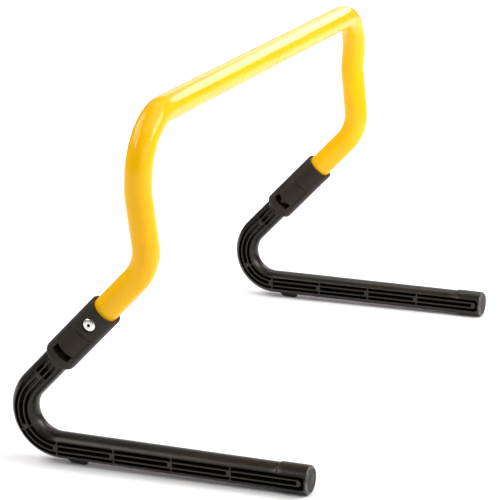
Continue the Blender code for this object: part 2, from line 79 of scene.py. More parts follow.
# Leg section: round, with a recess in each side that holds two ribs
LEG_RADIUS = 11.1 * MM
LEG_BEND_RADIUS = 30.5 * MM
RECESS_HALF = 5.95 * MM
RECESS_CORNER = 3.6 * MM
RIB_OUTER = 3.05 * MM
RIB_INNER = 1.65 * MM
RIB_CORNER = 2.7 * MM
RIB_CREST = 10.0 * MM
CORE_HALF = 2.2 * MM
EDGE_ROUND = 0.25 * MM
WALL_RUN = 0.25 * MM
SECTION_STEP = 0.42 * MM
RING_STEP = 6.0 * MM
TOP_STEPS = 14
BEVEL_HIGHLIGHT = 0.9                    # shares of the paler colour: a painted highlight on the end's bevel, wear on the ribs
RIB_WEAR = 0.07

# Distances along the leg from the tip of the foot
RECESS_START = 2.6 * MM
RIB_TURN = (5.5 * MM, 9.4 * MM)
FOOT_END_RADIUS = 12.0 * MM
FOOT_END_BEVEL = 1.9 * MM
FOOT_END_STEP = (25.6 * MM, 27.2 * MM)
PLUG_DEPTH = 1.3 * MM
POCKET_RADIUS = 9.4 * MM
POCKET_DEPTH = 1.6 * MM

# Webs between the ribs: a thin one in the outer grooves, a block in the middle groove
WEB_PITCH = 50.8 * MM
FIRST_WEB = 71.3 * MM               # from the corner along the foot
FOOT_WEBS = 4
WEB_HALF = 0.65 * MM
BLOCK_NEAR = 0.9 * MM               # reach of the block on the side away from the corner
BLOCK_FAR = 3.4 * MM
BEND_WEB_SHIFT = 3.7 * MM           # the bend's web lies this far before the bend's middle

# Heights up the leg line from the corner
RECESS_END = 103.6 * MM
LEG_SHOULDER = 105.7 * MM
HOUSING_BOTTOM = 106.2 * MM
RING_GROOVE = (109.2 * MM, 111.6 * MM)
SLOT_BOTTOM = 115.4 * MM
JOURNAL_TOP = 115.9 * MM
NECK_TOP = 116.8 * MM
WINDOW_BOTTOM = 121.6 * MM
LATCH_GROOVE = (123.4 * MM, 131.2 * MM)
YOKE_LEVEL = {"outer": 124.0 * MM, "inner": 127.6 * MM}
SPIGOT_TOP = 136.5 * MM
SPRING_LEVEL = 140.2 * MM
SEAM = 144.2 * MM
RIVET_LEVEL = 155.7 * MM
COLLAR_END = 169.4 * MM

# Sleeve radii and openings
SLEEVE_RADIUS = 14.15 * MM
SLEEVE_BORE = 11.5 * MM
JOURNAL_BORE = 9.9 * MM
NECK_RADIUS = 9.5 * MM
RING_GROOVE_RADIUS = 8.3 * MM
SPIGOT_RADIUS = 7.8 * MM
LATCH_GROOVE_RADIUS = 6.1 * MM
WINDOW_HALF = 10.1 * MM
SLOT_HALF = 8.1 * MM
PAD_GAP = 0.3 * MM
SKIRT_BORE = 12.7 * MM              # the collar's lower end goes over the housing's neck
SKIRT_TOP = 147.2 * MM
PAD_INNER_RADIUS = 12.0 * MM
YOKE_BORE = 8.1 * MM
YOKE_RADIUS = 10.1 * MM
YOKE_THICKNESS = 3.0 * MM
PRESS_TRAVEL = 1.6 * MM
COUNTERBORE_RADIUS = 6.0 * MM
COUNTERBORE_FLOOR = 12.15 * MM
SHANK_HOLE = 2.7 * MM
TURN_STEP = radians(4.0)


# Layout

def side_axes(name):
    """Matrix from the side frame to the row frame."""
    swivel = joints[name + "_leg_swivel"]
    up = Vector(swivel["axis"])
    if up.z < 0:
        up = -up
    outward = -Vector(joints[name + "_outer_press"]["axis"])
    up.normalize()
    outward = (outward - up * outward.dot(up)).normalized()
    rotation = Matrix((outward, up.cross(outward), up)).transposed()
    return Matrix.Translation(swivel["pos_m"]) @ rotation.to_4x4()


def bent_line(corners, radii):
    """Straight and arc pieces through the corners, rounded by the radii."""
    pieces = []
    start = corners[0]
    for before, corner, after, radius in zip(corners, corners[1:], corners[2:], radii):
        arrive = (corner - before).normalized()
        leave = (after - corner).normalized()
        turn = arrive.angle(leave)
        cut = radius * tan(turn / 2)
        arc_start = corner - arrive * cut
        inward = (leave - arrive * arrive.dot(leave)).normalized()
        pieces.append((0.0, (arc_start - start).length, start, arrive, inward))
        pieces.append((radius, radius * turn, arc_start, arrive, inward))
        start = corner + leave * cut
    rest = corners[-1] - start
    pieces.append((0.0, rest.length, start, rest.normalized(), rest.orthogonal()))
    return pieces


def at_distance(pieces, distance):
    """Point and direction at a distance along a bent line."""
    for number, (radius, length, start, along, inward) in enumerate(pieces):
        if distance <= length or number == len(pieces) - 1:
            break
        distance -= length
    if radius == 0.0:
        return start + along * distance, along
    angle = distance / radius
    centre = start + inward * radius
    point = centre - inward * radius * cos(angle) + along * radius * sin(angle)
    return point, along * cos(angle) + inward * sin(angle)


def spread(marks, step):
    """The marks in order, with the gaps between them filled at the step or closer."""
    marks = sorted(marks)
    lines = [marks[0]]
    for low, high in zip(marks, marks[1:]):
        if high - low < 1e-7:
            continue
        count = max(1, ceil((high - low) / step - 1e-6))
        lines += [low + (high - low) * number / count for number in range(1, count + 1)]
    return lines


# Materials

def add_node(tree, kind, **values):
    node = tree.nodes.new(kind)
    for name, value in values.items():
        setattr(node, name, value)
    return node


def noise(tree, coords, scale, detail=3.0, roughness=0.5):
    node = add_node(tree, "ShaderNodeTexNoise")
    node.inputs["Scale"].default_value = scale
    node.inputs["Detail"].default_value = detail
    node.inputs["Roughness"].default_value = roughness
    tree.links.new(coords, node.inputs["Vector"])
    return node.outputs["Fac"]


def remap(tree, value, low, high, to_low, to_high):
    node = add_node(tree, "ShaderNodeMapRange")
    for name, number in zip(("From Min", "From Max", "To Min", "To Max"),
                            (low, high, to_low, to_high)):
        node.inputs[name].default_value = number
    tree.links.new(value, node.inputs["Value"])
    return node.outputs["Result"]


def blend_colours(tree, factor, first, second):
    node = add_node(tree, "ShaderNodeMix", data_type="RGBA")
    colours = [socket for socket in node.inputs if socket.type == "RGBA"]
    for socket, colour in zip(colours, (first, second)):
        if isinstance(colour, tuple):
            socket.default_value = (*colour, 1.0)
        else:
            tree.links.new(colour, socket)
    tree.links.new(factor, node.inputs["Factor"])
    return next(socket for socket in node.outputs if socket.type == "RGBA")


def bump(tree, height, strength, distance, before=None):
    node = add_node(tree, "ShaderNodeBump")
    node.inputs["Strength"].default_value = strength
    node.inputs["Distance"].default_value = distance
    tree.links.new(height, node.inputs["Height"])
    if before:
        tree.links.new(before, node.inputs["Normal"])
    return node.outputs["Normal"]


def start_material(name):
    made = bpy.data.materials.new(name)
    made.use_nodes = True
    tree = made.node_tree
    coords = add_node(tree, "ShaderNodeTexCoord").outputs["Object"]
    return made, tree, tree.nodes["Principled BSDF"], coords


def yellow_paint():
    """Glossy powder coat: faint flow marks, orange peel and a clear top layer."""
    made, tree, shader, coords = start_material("yellow_powder_coat")
    broad = remap(tree, noise(tree, coords, 22.0, 2.0), 0.35, 0.65, 0.0, 1.0)
    colour = blend_colours(tree, broad, (0.930, 0.470, 0.0005), (0.955, 0.505, 0.0008))
    specks = remap(tree, noise(tree, coords, 1500.0, 2.0), 0.70, 0.78, 0.0, 0.10)
    colour = blend_colours(tree, specks, colour, (0.62, 0.30, 0.001))
    tree.links.new(colour, shader.inputs["Base Color"])
    haze = remap(tree, noise(tree, coords, 90.0, 4.0), 0.3, 0.7, 0.24, 0.34)
    tree.links.new(haze, shader.inputs["Roughness"])
    peel = bump(tree, noise(tree, coords, 420.0, 1.0), 0.16, 0.10 * MM)
    tree.links.new(peel, shader.inputs["Normal"])
    shader.inputs["Specular IOR Level"].default_value = 0.1
    shader.inputs["Coat Weight"].default_value = 0.35
    shader.inputs["Coat Roughness"].default_value = 0.06
    return made


def moulded_plastic(name, dark, light, rough, grain, grain_depth, specular):
    """Moulded plastic: eroded-mould grain, flow variation and a paler colour from an attribute:
    a painted highlight on the foot end's bevel, wear on rib crests and rims.
    """
    made, tree, shader, coords = start_material(name)
    flow = remap(tree, noise(tree, coords, 35.0, 3.0), 0.3, 0.7, 0.0, 1.0)
    colour = blend_colours(tree, flow, dark, light)
    # paler colour: a painted highlight on the foot end's bevel, wear on rib crests and rims
    highlight_and_wear = (0.13, 0.13, 0.125)
    edge = add_node(tree, "ShaderNodeAttribute", attribute_name="highlight_and_wear").outputs["Fac"]
    patchy = remap(tree, noise(tree, coords, 260.0, 3.0), 0.35, 0.65, 0.25, 1.0)
    highlight_and_wear_share = add_node(tree, "ShaderNodeMath", operation="MULTIPLY")
    tree.links.new(edge, highlight_and_wear_share.inputs[0])
    tree.links.new(patchy, highlight_and_wear_share.inputs[1])
    colour = blend_colours(tree, highlight_and_wear_share.outputs[0], colour, highlight_and_wear)
    tree.links.new(colour, shader.inputs["Base Color"])
    fine = noise(tree, coords, grain, 2.0, 0.6)
    tree.links.new(remap(tree, fine, 0.3, 0.7, rough[0], rough[1]), shader.inputs["Roughness"])
    sunk = bump(tree, noise(tree, coords, 28.0, 1.0), 0.25, 0.25 * MM)
    tree.links.new(bump(tree, fine, 0.5, grain_depth, sunk), shader.inputs["Normal"])
    shader.inputs["Specular IOR Level"].default_value = specular
    shader.inputs["Specular Tint"].default_value = (1.0, 0.93, 0.85, 1.0)
    return made


def rubber():
    made, tree, shader, coords = start_material("foot_rubber")
    dusty = remap(tree, noise(tree, coords, 140.0, 5.0, 0.65), 0.45, 0.75, 0.0, 0.6)
    colour = blend_colours(tree, dusty, (0.012, 0.012, 0.012), (0.040, 0.038, 0.035))
    tree.links.new(colour, shader.inputs["Base Color"])
    fine = noise(tree, coords, 1400.0, 3.0)
    tree.links.new(remap(tree, fine, 0.3, 0.7, 0.7, 0.9), shader.inputs["Roughness"])
    tree.links.new(bump(tree, fine, 0.6, 0.08 * MM), shader.inputs["Normal"])
    return made


def turned_metal(name, colour, rough):
    """Bright metal with turning marks round X, a little tarnish and painted shade inside the
    rivet's hole.
    """
    made, tree, shader, coords = start_material(name)
    split = add_node(tree, "ShaderNodeSeparateXYZ")
    tree.links.new(coords, split.inputs[0])
    lines = add_node(tree, "ShaderNodeTexNoise", noise_dimensions="1D")
    lines.inputs["Scale"].default_value = 3500.0
    tree.links.new(split.outputs["X"], lines.inputs["W"])
    tarnish = remap(tree, noise(tree, coords, 320.0, 4.0), 0.4, 0.75, 0.0, 0.5)
    darker = tuple(0.72 * channel for channel in colour)
    colour = blend_colours(tree, tarnish, colour, darker)
    # painted shade: the inside of the rivet's hole is coloured near black
    hole = add_node(tree, "ShaderNodeAttribute", attribute_name="painted_hole_shade").outputs["Fac"]
    colour = blend_colours(tree, hole, colour, (0.02, 0.02, 0.02))
    tree.links.new(colour, shader.inputs["Base Color"])
    streaks = remap(tree, lines.outputs["Fac"], 0.3, 0.7, rough[0], rough[1])
    tree.links.new(streaks, shader.inputs["Roughness"])
    marks = bump(tree, lines.outputs["Fac"], 0.15, 0.03 * MM)
    tree.links.new(marks, shader.inputs["Normal"])
    shader.inputs["Metallic"].default_value = 1.0
    return made


MATERIALS = {
    "yellow_paint": yellow_paint(),
    "black_plastic": moulded_plastic("black_leg_plastic", (0.0050, 0.0044, 0.0038),
                                     (0.0074, 0.0064, 0.0054), (0.26, 0.36), 1500.0, 0.05 * MM,
                                     0.36),
    "grey_plastic": moulded_plastic("dark_sleeve_plastic", (0.0135, 0.0104, 0.0072),
                                    (0.0175, 0.0135, 0.0095), (0.46, 0.58), 1900.0, 0.05 * MM,
                                    0.25),
    "rubber": rubber(),
    "bright_metal": turned_metal("rivet_aluminium", (0.88, 0.86, 0.84), (0.22, 0.38)),
    "spring_steel": turned_metal("spring_wire_steel", (0.55, 0.55, 0.56), (0.25, 0.40)),
}


# Pieces

def add_piece(name, bm, slot, body, nodes, matrix=None, sharp=35.0, edge_radius=0.0,
              bend=None):
    """Make a mesh piece from a bmesh, finish it and hide the CAD nodes it replaces.

    It rides on the body; given bend, it is baked in place without a body, and the points in
    bend are not used.
    """
    if matrix:
        bmesh.ops.transform(bm, matrix=matrix, verts=bm.verts)
    bmesh.ops.recalc_face_normals(bm, faces=bm.faces)
    mesh = bpy.data.meshes.new(name)
    bm.to_mesh(mesh)
    bm.free()
    piece = bpy.data.objects.new(name, mesh)
    bpy.context.scene.collection.objects.link(piece)
    mesh.materials.append(MATERIALS[slot])
    mesh.shade_smooth()
    mesh.set_sharp_from_angle(angle=radians(sharp))
    if edge_radius:
        rounding = piece.modifiers.new("edges", "BEVEL")
        rounding.width = edge_radius
        rounding.segments = 3
        rounding.limit_method = "ANGLE"
        rounding.angle_limit = radians(sharp)
        rounding.harden_normals = True
    if bend:
        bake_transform(piece)
    else:
        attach(piece, body)
    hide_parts(*nodes)
    return piece


def skin(rings, closed_ends=True, closed_loop=False):
    """Quads over rings of points with the same count."""
    bm = bmesh.new()
    loops = [[bm.verts.new(point) for point in ring] for ring in rings]
    follow = loops[1:] + (loops[:1] if closed_loop else [])
    for low, high in zip(loops, follow):
        for index in range(len(low)):
            after = (index + 1) % len(low)
            bm.faces.new((low[index], low[after], high[after], high[index]))
    if closed_ends and not closed_loop:
        bm.faces.new(loops[0][::-1])
        bm.faces.new(loops[-1])
    return bm


def lathe(profile, steps, ring=False):
    """Solid turned about Z from (radius, height) points; a ring's profile closes on itself."""
    rings = []
    for radius, height in profile:
        turn = [2 * pi * step / steps for step in range(steps)]
        rings.append([Vector((radius * cos(a), radius * sin(a), height)) for a in turn])
    bm = skin(rings, closed_ends=not ring, closed_loop=ring)
    bmesh.ops.remove_doubles(bm, verts=bm.verts, dist=1e-6)
    return bm


def along_x(bm, height):
    """Turn a body modelled about Z to lie along X, and lift it to a height."""
    bmesh.ops.rotate(bm, cent=(0, 0, 0), matrix=Matrix.Rotation(pi / 2, 3, "Y"), verts=bm.verts)
    bmesh.ops.translate(bm, vec=(0, 0, height), verts=bm.verts)
    return bm


def join(target, source):
    """Add a bmesh's bodies to another bmesh."""
    mesh = bpy.data.meshes.new("joining")
    source.to_mesh(mesh)
    source.free()
    target.from_mesh(mesh)
    bpy.data.meshes.remove(mesh)


def box(low, high):
    bm = bmesh.new()
    bmesh.ops.create_cube(bm, size=1.0)
    low = Vector(low)
    high = Vector(high)
    bmesh.ops.scale(bm, vec=high - low, verts=bm.verts)
    bmesh.ops.translate(bm, vec=(low + high) / 2, verts=bm.verts)
    return bm


# Tube

def make_tube(axes):
    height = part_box("frame_tube")[1].z
    outward = axes["right"].to_3x3() @ Vector((1, 0, 0))
    lean = -outward.z / outward.x

    def bend(sign, corner):
        y, z = corner
        x = sign * (FOOT_HALF_SPACING + lean * (z - FOOT_SPACING_HEIGHT))
        return Vector((x, y, z))

    bends = (LOWER_BEND, UPRIGHT_KINK, (BAR_CORNER_Y, height - TUBE_RADIUS))
    ends = [axes[name] @ Vector((0, 0, TUBE_END)) for name in SIDES]
    corners = [ends[0]] + [bend(-1, corner) for corner in bends]
    corners += [bend(1, corner) for corner in reversed(bends)] + [ends[1]]
    line = bent_line(corners, BEND_RADII + BEND_RADII[::-1])
    marks = [0.0]
    fine = []
    for radius, length, *_ in line:
        if radius:
            fine += spread([marks[-1], marks[-1] + length], radius * radians(2.0))
        marks.append(marks[-1] + length)
    distances = spread(set(marks + fine), TUBE_STEP)
    normal = Vector((0, 1, 0))
    outer = []
    inner = []
    for distance in distances:
        centre, along = at_distance(line, distance)
        normal = (normal - along * normal.dot(along)).normalized()
        side = along.cross(normal)
        turn = [2 * pi * step / TUBE_SIDES for step in range(TUBE_SIDES)]
        spokes = [normal * cos(angle) + side * sin(angle) for angle in turn]
        outer.append([centre + spoke * TUBE_RADIUS for spoke in spokes])
        inner.append([centre + spoke * (TUBE_RADIUS - TUBE_WALL) for spoke in spokes])
    bm = skin(outer + inner[::-1], closed_loop=True)
    add_piece("bent_tube", bm, "yellow_paint", "frame", ["frame_tube"])


# Leg

def sink(distance, depth):
    """How far the surface lies below a rounded edge, at a distance past the edge's start."""
    if distance <= 0:
        return 0.0
    if distance < EDGE_ROUND:
        return min(depth, EDGE_ROUND - sqrt(EDGE_ROUND ** 2 - distance ** 2))
    return EDGE_ROUND + (depth - EDGE_ROUND) * min(1.0, (distance - EDGE_ROUND) / WALL_RUN)


def rectangle_distance(along, across, start, end, half, corner):
    """Distance outside a round-cornered rectangle; negative inside it."""
    past_side = abs(across) - (half - corner)
    past_end = abs(along - (start + end) / 2) - ((end - start) / 2 - corner)
    outside = hypot(max(past_side, 0.0), max(past_end, 0.0))
    return outside + min(max(past_side, past_end), 0.0) - corner


class LegShape:
    """Distances along one leg, from the tip of the foot, and the surface there."""

    def __init__(self, tip):
        foot = tip.length
        top = Vector((0, 0, SPIGOT_TOP))
        self.line = bent_line([tip, Vector((0, 0, 0)), top], [LEG_BEND_RADIUS])
        self.arc_start = self.line[0][1]
        self.arc_end = self.arc_start + self.line[1][1]
        self.corner_cut = foot - self.arc_start
        self.recess = (RECESS_START, self.at_height(RECESS_END))
        middle = (self.arc_start + self.arc_end) / 2
        webs = [foot - FIRST_WEB - WEB_PITCH * number for number in range(FOOT_WEBS)]
        webs.append(middle - BEND_WEB_SHIFT)
        last = middle + WEB_PITCH
        self.webs = webs + [last]
        self.blocks = [(web - BLOCK_NEAR, web + BLOCK_FAR) for web in webs]
        self.blocks.append((last - BLOCK_FAR, last + BLOCK_NEAR))

    def at_height(self, height):
        return self.arc_end + height - self.corner_cut

    def radius(self, distance):
        start, end = FOOT_END_STEP
        share = min(1.0, max(0.0, (distance - start) / (end - start)))
        share = share * share * (3 - 2 * share)
        return FOOT_END_RADIUS + (LEG_RADIUS - FOOT_END_RADIUS) * share

    def half_width(self, distance, up):
        """Distance of the side's surface from the middle plane."""
        outer = sqrt(self.radius(distance) ** 2 - up ** 2)
        inside = -rectangle_distance(distance, up, *self.recess, RECESS_HALF, RECESS_CORNER)
        if inside <= 0:
            return outer
        far = self.recess[1] + RIB_TURN[1]
        turn_end = rectangle_distance(distance, up, RIB_TURN[0], far, RIB_OUTER, RIB_CORNER)
        between = rectangle_distance(distance, up, RIB_TURN[1], far, RIB_INNER, RIB_INNER / 2)
        off_rib = max(turn_end, -between) + EDGE_ROUND
        if abs(up) < (RIB_INNER + RIB_OUTER) / 2:
            off_web = min(max(low - distance, distance - high) for low, high in self.blocks)
        else:
            off_web = min(abs(distance - web) for web in self.webs) - WEB_HALF
        off_web += EDGE_ROUND
        rise = RIB_CREST - CORE_HALF
        return max(outer - sink(inside, outer - CORE_HALF),
                   RIB_CREST - sink(off_rib, rise),
                   RIB_CREST - sink(off_web, rise))

    def highlight_and_wear(self, distance, up, across):
        """Share of the paler colour: most on the end's bevel, where it is a painted highlight,
        and a little wear on ribs and rims.
        """
        if 0.0 < distance < FOOT_END_BEVEL:
            return BEVEL_HIGHLIGHT
        rim = abs(abs(up) - RECESS_HALF) < EDGE_ROUND
        crest = abs(up) < RECESS_HALF and across > RIB_CREST - EDGE_ROUND / 2
        step = self.recess[0] < distance < self.recess[1]
        return RIB_WEAR if step and (rim or crest) else 0.0

    def distances(self):
        """Where the rings of the ribbed part lie."""
        edge = EDGE_ROUND + WALL_RUN
        marks = [FOOT_END_BEVEL, *FOOT_END_STEP, self.recess[1] + edge]
        rises = [(web - WEB_HALF, web + WEB_HALF) for web in self.webs] + self.blocks
        for low, high in rises:
            marks += [low - WALL_RUN, low, low + EDGE_ROUND]
            marks += [high - EDGE_ROUND, high, high + WALL_RUN]
        marks += spread([RECESS_START - edge, RIB_TURN[1] + RIB_CORNER], edge / 2)
        marks += spread([self.recess[1] - RECESS_CORNER - edge, self.recess[1]], edge / 2)
        marks += spread([self.arc_start, self.arc_end], LEG_BEND_RADIUS * radians(2.5))
        marks += spread(FOOT_END_STEP, edge / 2)
        lines = []
        for mark in spread(marks, RING_STEP):
            if not lines or mark - lines[-1] > EDGE_ROUND / 3:
                lines.append(mark)
        return lines


def section_heights():
    """Heights of the section's points in the recess, fine at the ribs' and rim's edges."""
    marks = [0.0]
    thirds = (EDGE_ROUND / 3, 2 * EDGE_ROUND / 3, EDGE_ROUND)
    for edge, inwards in ((RIB_INNER, 1), (RIB_OUTER, -1), (RECESS_HALF, -1)):
        rounded = edge if edge == RECESS_HALF else edge + inwards * EDGE_ROUND
        away = -inwards if edge != RECESS_HALF else -1
        marks += [rounded] + [rounded + away * third for third in thirds]
        marks.append(rounded + away * (EDGE_ROUND + WALL_RUN))
    return spread(marks, SECTION_STEP)


def round_section(radius, heights):
    """Plain round section with its points spread like the ribbed section's."""
    angles = [asin(height / LEG_RADIUS) for height in heights]
    last = angles[-1]
    angles += [last + (pi / 2 - last) * step / TOP_STEPS for step in range(1, TOP_STEPS)]
    quarter = [(radius * cos(angle), radius * sin(angle)) for angle in angles]
    return cap_section(quarter, radius)


def ribbed_section(shape, distance, heights):
    radius = shape.radius(distance)
    quarter = [(shape.half_width(distance, up), up) for up in heights]
    last = asin(heights[-1] / radius)
    for step in range(1, TOP_STEPS):
        angle = last + (pi / 2 - last) * step / TOP_STEPS
        quarter.append((radius * cos(angle), radius * sin(angle)))
    return cap_section(quarter, radius)


def cap_section(quarter, radius):
    right = [(x, -y) for x, y in reversed(quarter[1:])] + quarter
    left = [(-x, -y) for x, y in right]
    return right + [(0.0, radius)] + left + [(0.0, -radius)]


def leg_rings(shape, heights):
    """(distance, section) of every ring, from the plug's pocket to the spigot's top."""
    lip = 0.25 * MM
    bevel_foot = FOOT_END_RADIUS - FOOT_END_BEVEL
    front = [(POCKET_DEPTH, POCKET_RADIUS), (lip, POCKET_RADIUS),
             (lip / 4, POCKET_RADIUS + lip / 3), (0.0, POCKET_RADIUS + lip),
             (0.0, bevel_foot - lip), (lip / 3, bevel_foot + lip / 2)]
    rings = [(distance, round_section(radius, heights)) for distance, radius in front]
    for mark in shape.distances():
        outline = ribbed_section(shape, mark, heights)
        if mark == FOOT_END_BEVEL:
            inset = FOOT_END_BEVEL - 2 * lip
            rings.append((inset, round_section(FOOT_END_RADIUS - lip, heights)))
            rings.append((inset + lip, round_section(FOOT_END_RADIUS - lip / 3, heights)))
        rings.append((mark, outline))
    groove = 0.5 * MM
    spigot = [
        (LEG_SHOULDER - lip, LEG_RADIUS), (LEG_SHOULDER, LEG_RADIUS - lip),
        (LEG_SHOULDER, NECK_RADIUS), (RING_GROOVE[0], NECK_RADIUS),
        (RING_GROOVE[0], RING_GROOVE_RADIUS), (RING_GROOVE[1], RING_GROOVE_RADIUS),
        (RING_GROOVE[1], NECK_RADIUS), (JOURNAL_TOP - groove, NECK_RADIUS),
        (NECK_TOP, SPIGOT_RADIUS), (LATCH_GROOVE[0], SPIGOT_RADIUS),
        (LATCH_GROOVE[0], LATCH_GROOVE_RADIUS), (LATCH_GROOVE[1], LATCH_GROOVE_RADIUS),
        (LATCH_GROOVE[1], SPIGOT_RADIUS), (SPIGOT_TOP - groove, SPIGOT_RADIUS),
        (SPIGOT_TOP, SPIGOT_RADIUS - groove),
    ]
    for height, radius in spigot:
        rings.append((shape.at_height(height), round_section(radius, heights)))
    return rings


def make_leg(name, matrix):
    plug_low, plug_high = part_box(name + "_foot_plug")
    to_plug = matrix.inverted() @ ((plug_low + plug_high) / 2)
    foot_way = Vector((0.0, to_plug.y, to_plug.z)).normalized()
    tip = foot_way * (to_plug.length + PLUG_DEPTH / 2)
    shape = LegShape(tip)
    heights = section_heights()
    outward = Vector((1, 0, 0))
    rings = []
    highlight_and_wear = []
    for distance, outline in leg_rings(shape, heights):
        point, along = at_distance(shape.line, distance)
        up = along.cross(outward)
        ring = []
        for x, y in outline:
            place = matrix @ (point + outward * x + up * y)
            place.z = max(place.z, 0.0)
            ring.append(place)
            highlight_and_wear.append(shape.highlight_and_wear(distance, y, abs(x)))
        rings.append(ring)
    bm = skin(rings)
    # vertex attribute for the paler colour: a painted highlight on the end's bevel, wear on
    # ribs and rims
    layer = bm.verts.layers.float.new("highlight_and_wear")
    for vert, value in zip(bm.verts, highlight_and_wear):
        vert[layer] = value
    add_piece(name + "_ribbed_leg", bm, "black_plastic", name + "_leg", [name + "_leg"],
              sharp=50.0)
    make_plug(name, matrix, tip, foot_way)


def make_plug(name, matrix, tip, foot_way):
    """Crowned disc in the foot's end, with a shallow ring moulded in its face."""
    radius = POCKET_RADIUS - 0.3 * MM
    soft = 0.45 * MM
    step_radius = 0.72 * radius
    profile = [(0, -PLUG_DEPTH), (radius, -PLUG_DEPTH), (radius, -soft),
               (radius - 0.3 * soft, -0.3 * soft), (radius - soft, 0.0),
               (step_radius + soft, 0.12 * MM), (step_radius, 0.0),
               (step_radius - soft, 0.0), (step_radius - 2 * soft, 0.15 * MM),
               (step_radius / 2, 0.35 * MM), (0, 0.42 * MM)]
    sunk = 0.35 * MM
    turn = Vector((0, 0, 1)).rotation_difference(foot_way).to_matrix().to_4x4()
    place = matrix @ Matrix.Translation(tip - foot_way * sunk) @ turn
    add_piece(name + "_end_plug", lathe(profile, 64), "grey_plastic", name + "_leg",
              [name + "_foot_plug"], place)


def make_rubber_pad(name):
    """Narrow rubber block under the foot, with a round belly that curves up at both ends."""
    low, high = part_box(name + "_foot_pad")
    centre = (low + high) / 2
    size = high - low
    rise = {-1: 2.0 * MM, 1: 4.2 * MM}
    run = {-1: 3.0 * MM, 1: 6.5 * MM}
    ring_step = 0.35 * MM
    taper = 0.12
    full_belly = 1.6 * MM
    rings = []
    for y in spread([-size.y / 2, size.y / 2], ring_step):
        end = 1 if y > 0 else -1
        past = max(0.0, abs(y) - (size.y / 2 - run[end])) / run[end]
        lift = rise[end] * (1 - sqrt(max(0.0, 1 - past * past)))
        half = size.x / 2 - taper * lift
        bottom = low.z + lift
        belly = min(full_belly, 0.9 * (high.z - bottom))
        outline = [(-half, high.z), (-half, bottom + belly)]
        arc = [pi / 2 * step / 8 for step in range(1, 9)]
        outline += [(-half + 1.1 * belly * (1 - cos(a)), bottom + belly * (1 - sin(a)))
                    for a in arc]
        outline += [(-x, z) for x, z in reversed(outline)]
        rings.append([Vector((centre.x + x, centre.y + y, z)) for x, z in outline])
    add_piece(name + "_rubber_pad", skin(rings), "rubber", name + "_leg", [name + "_foot_pad"])


def make_friction_ring(name, matrix):
    middle = (RING_GROOVE_RADIUS + JOURNAL_BORE) / 2
    wire = 0.75 * MM
    level = sum(RING_GROOVE) / 2
    circle = [2 * pi * step / 16 for step in range(16)]
    profile = [(middle + wire * cos(a), level + wire * sin(a)) for a in circle]
    add_piece(name + "_o_ring", lathe(profile, 64, ring=True), "rubber", name + "_leg",
              [name + "_friction_ring"], matrix)


# Sleeve

def curved_wall(angles, levels, outer, inner, solid, closed=True, level_at=None,
                inner_turn=None):
    """Wall between two radius functions, over a grid of angles and levels.

    solid(angle, level) says whether a cell with that middle exists. The rims of the wall
    and of its openings are closed. level_at(angle, level) may bend the level lines, and
    inner_turn(angle, radius) may shift the inner skin's angles.
    Returns the bmesh and its outer and inner grid of vertices.
    """
    bm = bmesh.new()
    grids = ({}, {})
    count = len(angles)

    def vert(layer, i, j):
        i = i % count if closed else i
        if (i, j) not in grids[layer]:
            angle = angles[i]
            level = level_at(angle, levels[j]) if level_at else levels[j]
            radius = (outer, inner)[layer](level)
            if layer and inner_turn:
                angle = inner_turn(angle, radius)
            place = (radius * cos(angle), radius * sin(angle), level)
            grids[layer][i, j] = bm.verts.new(place)
        return grids[layer][i, j]

    def exists(i, j):
        if not 0 <= j < len(levels) - 1:
            return False
        if not closed and not 0 <= i < count - 1:
            return False
        following = angles[(i + 1) % count] + (2 * pi if i + 1 >= count else 0.0)
        return solid((angles[i % count] + following) / 2, (levels[j] + levels[j + 1]) / 2)

    for i in range(count if closed else count - 1):
        for j in range(len(levels) - 1):
            if not exists(i, j):
                continue
            corners = ((i, j), (i + 1, j), (i + 1, j + 1), (i, j + 1))
            bm.faces.new([vert(0, *corner) for corner in corners])
            bm.faces.new([vert(1, *corner) for corner in reversed(corners)])
            neighbours = ((i, j - 1), (i + 1, j), (i, j + 1), (i - 1, j))
            for side, neighbour in enumerate(neighbours):
                ni, nj = neighbour
                inside = exists(ni % count if closed else ni, nj)
                if not inside:
                    first = corners[side]
                    second = corners[(side + 1) % 4]
                    bm.faces.new((vert(0, *second), vert(0, *first),
                                  vert(1, *first), vert(1, *second)))
    return bm, grids


def turn_lines(edges, step):
    """Angles round the whole sleeve, with lines at the edges given in radians."""
    lines = spread(list(edges) + [min(edges) + 2 * pi], step)
    return lines[:-1]


def side_of(angle):
    """Angle measured from the nearer of the two latch sides, outward or inward."""
    angle = (angle + pi / 2) % pi - pi / 2
    return abs(angle)


def straight_in(angle, radius):
    """Angle on an inner radius that makes the sides of the openings run straight inward."""
    half = WINDOW_HALF if radius > WINDOW_HALF else SLOT_HALF
    edge = asin(half / SLEEVE_RADIUS)
    inner_edge = asin(half / radius)
    middle = round(angle / pi) * pi
    off = angle - middle
    if abs(off) <= edge:
        return middle + asin(SLEEVE_RADIUS * sin(off) / radius)
    share = (abs(off) - edge) / (pi / 2 - edge)
    return middle + copysign(inner_edge + share * (pi / 2 - inner_edge), off)


